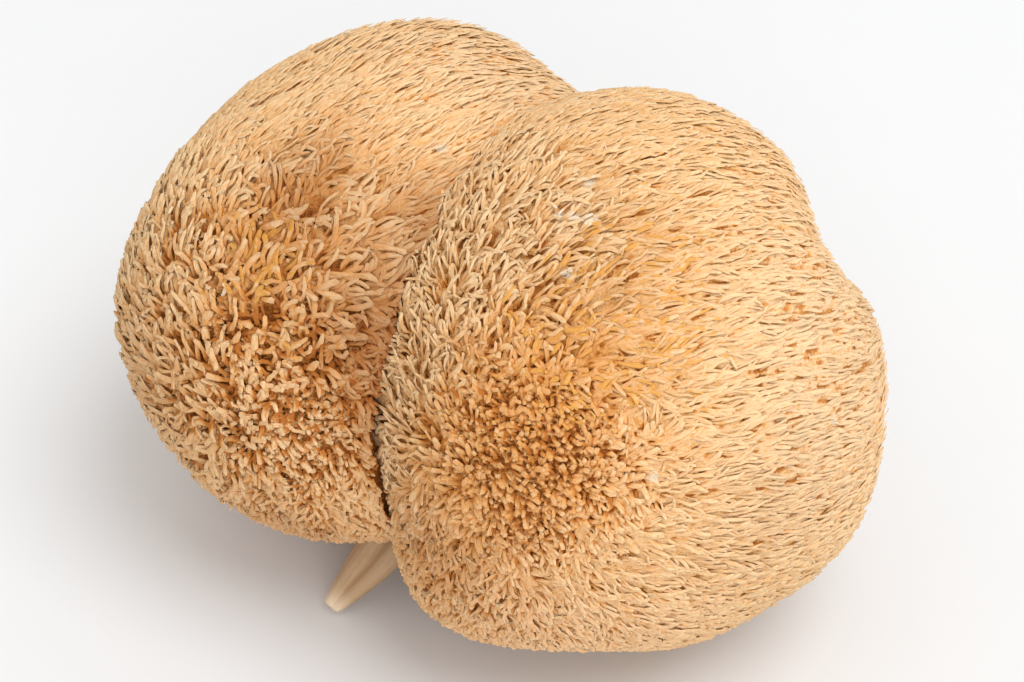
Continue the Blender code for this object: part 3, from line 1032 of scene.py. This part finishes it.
class MUSHROOM_OT_flesh(Operator):
    """Make the matted coat that shows in the gaps between each head's spines"""

    bl_idname = "mushroom.flesh"
    bl_label = "Flesh"

    def execute(self, context):
        for head in make_heads():
            ball = finely_cut_ball(head)
            rays = unit(np.array([vert.co for vert in ball.verts]))
            outside = head.centre + rays * head.outer_radius(rays)[:, None]
            fibres, pits = head.fibres(rays, outside), head.pits(rays, outside)
            upright, shaggy, fused, seen = (
                share(rays) for share in (head.upright, head.shaggy, head.fused, head.seen)
            )
            surface = head.mat_depth(rays)
            relief = pits * (0.50 - 0.20 * fused + 0.75 * upright + 0.5 * shaggy) - 0.12 * fibres
            sunk = UNSEEN_SUNK * (1.0 - seen) * (1.0 - upright)
            depth = np.maximum(surface + MILLI * (relief + sunk), MAT_LEAST)
            # Painted shade: the coat is coloured darker in the seam's crevice.
            seam_shade = smooth_step(-1.6 * MILLI, -0.4 * MILLI, head.beyond_seam(outside))
            seam_shade = seam_shade * (1.0 - 0.8 * head.grown_in(rays) / SEAM_FILL)
            # Painted shade in the gaps under the lying spines that cover the coat.
            shade_under_spines = (1.0 - upright) * (1.0 - shaggy) * seen
            # Colour depth: browner with the coat's depth, partly its own colour, and darkened further as
            # painted shade in the pits and fibre grooves.
            deep = surface / MILLI + 0.9 * seam_shade - VALLEY_LOOK * head.valleys(rays)
            deep = deep + pits * (1.1 - 0.60 * fused + 0.2 * upright)
            deep = deep + 0.45 * shade_under_spines + 0.06 * fused * shade_under_spines - 0.15 * fibres
            places = head.centre + rays * head.mat_radius(rays, depth)[:, None]
            for vert, place in zip(ball.verts, places):
                vert.co = place
            mesh = bpy.data.meshes.new(f"{head.name}_flesh")
            ball.to_mesh(mesh)
            ball.free()
            mesh.shade_smooth()
            store(mesh, {
                "deep": deep,
                "fibre": 0.5 + 0.5 * fibres,
                "fused": fused,
                "upright": upright,
                "speck": head.speck(rays),
                **head.tints(rays),
            })
            finish = flesh_finish(f"{head.name}_matted_coat", context.scene.mushroom_colours, head.hang)
            add_piece(context, mesh.name, mesh, finish, head.node)
        return {"FINISHED"}


class MUSHROOM_OT_coat(Operator):
    """Grow the spines of each head"""

    bl_idname = "mushroom.coat"
    bl_label = "Spines"

    def execute(self, context):
        finish = coat_finish("dry_spines", context.scene.mushroom_colours)
        for head in make_heads():
            generator = np.random.default_rng(head.seed)
            spines = grow(head, context.scene.mushroom_coat, generator)
            order = generator.permutation(len(spines["tone"]))
            curled = spines["shaggy"][order] > CURLED_FROM
            short = (spines["upright"][order] > 0.5) & ~curled
            for kind, members, template in (
                ("lying", order[~short & ~curled], LYING_SPINE),
                ("curled", order[curled], CURLED_SPINE),
                ("stub", order[short], STUB_SPINE),
            ):
                parts = max(1, math.ceil(len(members) / PIECE_OF_SPINES))
                for part in range(parts):
                    label = f"{head.name}_{kind}_spines_{part + 1}"
                    mesh = coat_mesh(label, head, spines, members[part::parts], template, generator)
                    add_piece(context, label, mesh, finish, head.node)
        return {"FINISHED"}


class MUSHROOM_OT_stem(Operator):
    """Make the smooth, grooved stem"""

    bl_idname = "mushroom.stem"
    bl_label = "Stem"

    def execute(self, context):
        form = tube(STEM_SIDES, STEM_STEPS - 1)
        caps = [face for face in form.faces if len(face.verts) == STEM_SIDES]
        bmesh.ops.inset_individual(form, faces=caps, thickness=0.15, use_even_offset=True)
        bmesh.ops.poke(form, faces=[face for face in form.faces if len(face.verts) == STEM_SIDES])
        along = STEM_FORK - STEM_TIP
        side = unit(np.cross(along, UP))
        upper = unit(np.cross(side, along))
        layer = form.loops.layers.uv.new("along_stem")
        for face in form.faces:
            turn = turn_of(face.calc_center_median())
            for loop in face.loops:
                place = loop.vert.co
                loop[layer].uv = (turn_by(place, turn) / math.tau, place.z + 0.5)
        shares, creases = [], []
        for vert in form.verts:
            share = vert.co.z + 0.5
            angle, out = turn_of(vert.co), vert.co.xy.length
            apart = math.degrees(math.remainder(angle - math.radians(STEM_GROOVE_ANGLE), math.tau))
            groove = STEM_GROOVE_DEPTH * math.exp(-((apart / STEM_GROOVE_WIDTH) ** 2))
            wander = STEM_CREASE_WANDER * noise.noise(Vector((share * 5.0, 0.0, 0.0)))
            crease = math.exp(-(((apart - wander) / STEM_CREASE_WIDTH) ** 2)) * min(1.0, 5.0 * share)
            groove += STEM_CREASE_DEPTH * crease
            x, y = math.cos(angle), math.sin(angle)
            ridge = sum(
                height * noise.noise(Vector((x * turns, y * turns, share * lengthwise)))
                for height, turns, lengthwise in STEM_RIDGES
            )
            across = side * x + upper * y * STEM_FLATNESS
            radius = float(stem_radius(share))
            vert.co = stem_centre(share) + across * radius * out * (0.985 - groove + ridge)
            vert.co.z = max(vert.co.z, 0.0)
            shares.append(share)
            creases.append(crease)
        mesh = bpy.data.meshes.new("stem")
        bmesh.ops.recalc_face_normals(form, faces=form.faces[:])
        form.to_mesh(mesh)
        form.free()
        mesh.shade_smooth()
        store(mesh, {"from_tip": shares, "crease": creases})
        finish = stem_finish(context.scene.mushroom_colours)
        add_piece(context, "grooved_stem", mesh, finish, "stem")
        return {"FINISHED"}


class MUSHROOM_OT_stage(Operator):
    """Make the pale floor, the soft light and the camera"""

    bl_idname = "mushroom.stage"
    bl_label = "Stage"

    def execute(self, context):
        scene, settings = context.scene, context.scene.mushroom_stage
        form = bmesh.new()
        bmesh.ops.create_grid(form, x_segments=8, y_segments=8, size=3.0)
        mesh = bpy.data.meshes.new("floor")
        form.to_mesh(mesh)
        form.free()
        finish = Finish("pale_floor", Roughness=0.9, Specular_IOR_Level=0.2)
        shade = [0.985 * value for value in settings.floor]
        finish.give(Base_Color=finish.mix(shade, settings.floor, finish.noise(60.0)))
        mesh.materials.append(finish.material)
        add_object(context, "floor", mesh)
        scene.world = bpy.data.worlds.new("studio")
        scene.world.use_nodes = True
        backdrop = scene.world.node_tree.nodes["Background"]
        backdrop.inputs["Color"].default_value = (1.0, 0.97, 0.935, 1.0)
        backdrop.inputs["Strength"].default_value = settings.surroundings
        for name, size, power, place in (
            ("key", 1.9, settings.key_power, (0.95, -0.85, 2.60)),
            ("fill", 2.0, settings.fill_power, (0.30, -2.35, 1.15)),
        ):
            light = bpy.data.lights.new(name, "AREA")
            light.shape = "DISK"
            light.size, light.energy, light.color = size, power, (0.955, 0.98, 1.0)
            lamp = add_object(context, name, light)
            lamp.location = place
            towards = LAMPS_AIM - lamp.location
            lamp.rotation_euler = towards.to_track_quat("-Z", "Y").to_euler()
        view = bpy.data.cameras.new("camera")
        view.lens, view.sensor_width = 100.0, 36.0
        scene.camera = add_object(context, "camera", view)
        back = Vector((0.0, -math.cos(settings.elevation), math.sin(settings.elevation)))
        scene.camera.location = Vector(settings.aim) + back * settings.distance
        scene.camera.rotation_euler = (math.pi / 2 - settings.elevation, 0.0, 0.0)
        scene.view_settings.view_transform = "Standard"
        return {"FINISHED"}


class MUSHROOM_PT_panel(Panel):
    """Lists the pieces and their settings"""

    bl_idname = "MUSHROOM_PT_panel"
    bl_label = "Lion's Mane Mushroom"
    bl_space_type = "VIEW_3D"
    bl_region_type = "UI"
    bl_category = "Mushroom"

    def draw(self, context):
        for operator in OPERATORS:
            self.layout.operator(operator.bl_idname)
        for group, _ in GROUPS:
            settings = getattr(context.scene, group)
            box = self.layout.box()
            for name in settings.bl_rna.properties.keys():
                if name not in ("rna_type", "name"):
                    box.prop(settings, name)


GROUPS = (
    ("mushroom_coat", CoatSettings),
    ("mushroom_colours", ColourSettings),
    ("mushroom_stage", StageSettings),
)
OPERATORS = (MUSHROOM_OT_flesh, MUSHROOM_OT_coat, MUSHROOM_OT_stem, MUSHROOM_OT_stage)


def register():
    """Make the settings, operators and panel known to Blender."""
    for name, group in GROUPS:
        bpy.utils.register_class(group)
        setattr(bpy.types.Scene, name, PointerProperty(type=group))
    for shown in (*OPERATORS, MUSHROOM_PT_panel):
        bpy.utils.register_class(shown)


def unregister():
    """Take them away again."""
    for shown in (MUSHROOM_PT_panel, *reversed(OPERATORS)):
        bpy.utils.unregister_class(shown)
    for name, group in reversed(GROUPS):
        delattr(bpy.types.Scene, name)
        bpy.utils.unregister_class(group)


def main():
    """Make every piece in order."""
    register()
    bpy.ops.mushroom.flesh()
    bpy.ops.mushroom.coat()
    bpy.ops.mushroom.stem()
    bpy.ops.mushroom.stage()


if __name__ == "__main__":
    main()
